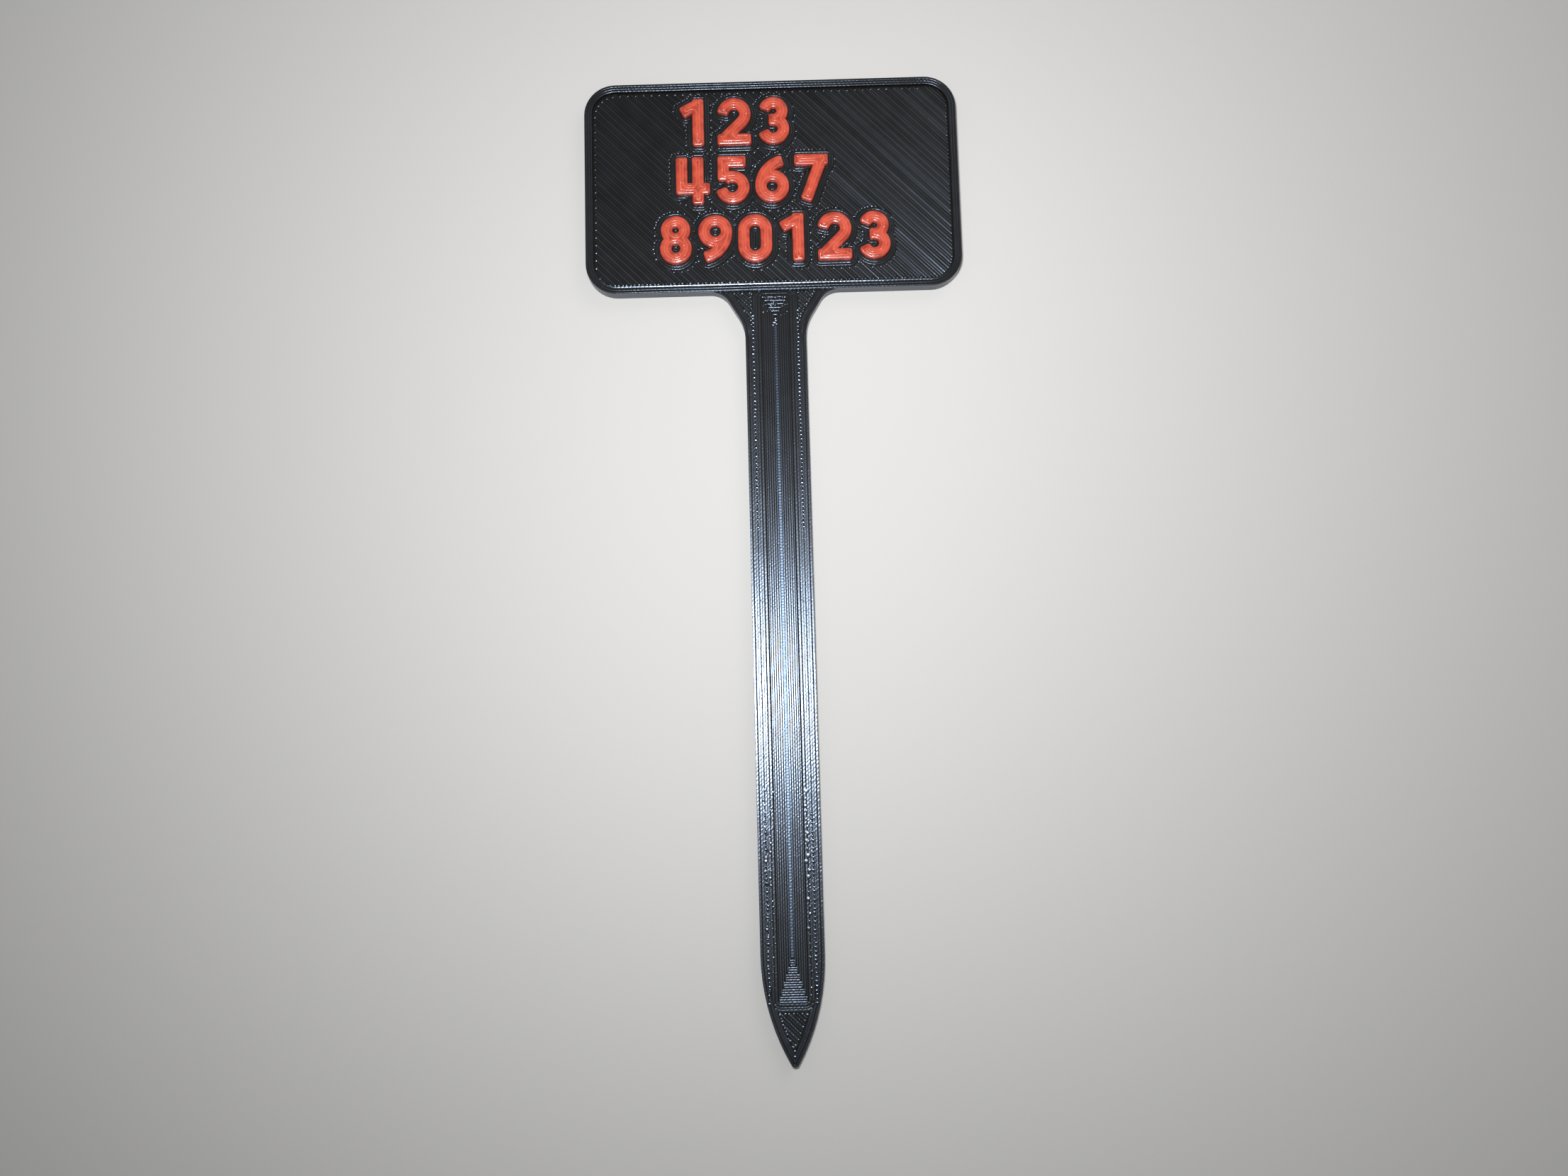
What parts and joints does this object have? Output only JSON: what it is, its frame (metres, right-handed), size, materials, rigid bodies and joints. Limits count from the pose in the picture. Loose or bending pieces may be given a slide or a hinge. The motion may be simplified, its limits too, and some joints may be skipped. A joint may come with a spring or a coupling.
{
  "type": "plant label stake",
  "caption": "Flat printed plant label: a rimmed name plate with raised figures, a flared neck and a long grooved spike with a point to push into soil.",
  "frame": {"origin": "under the middle of the label's overall length and width, on the plane it lies on", "axes": "+X across the plate, +Y from the point of the spike to the top of the plate, +Z out of the written face"},
  "size_m": [0.06, 0.155, 0.0028],
  "materials": {
    "black_filament": "glossy printed filament with fine lines from the nozzle",
    "red_filament": "satin orange-red printed filament"
  },
  "bodies": {
    "root": {"label_body": "black_filament", "top_row_figure_1": "red_filament", "top_row_figure_2": "red_filament", "top_row_figure_3": "red_filament", "middle_row_figure_1": "red_filament", "middle_row_figure_2": "red_filament", "middle_row_figure_3": "red_filament", "middle_row_figure_4": "red_filament", "bottom_row_figure_1": "red_filament", "bottom_row_figure_2": "red_filament", "bottom_row_figure_3": "red_filament", "bottom_row_figure_4": "red_filament", "bottom_row_figure_5": "red_filament", "bottom_row_figure_6": "red_filament"}
  },
  "joints": []
}
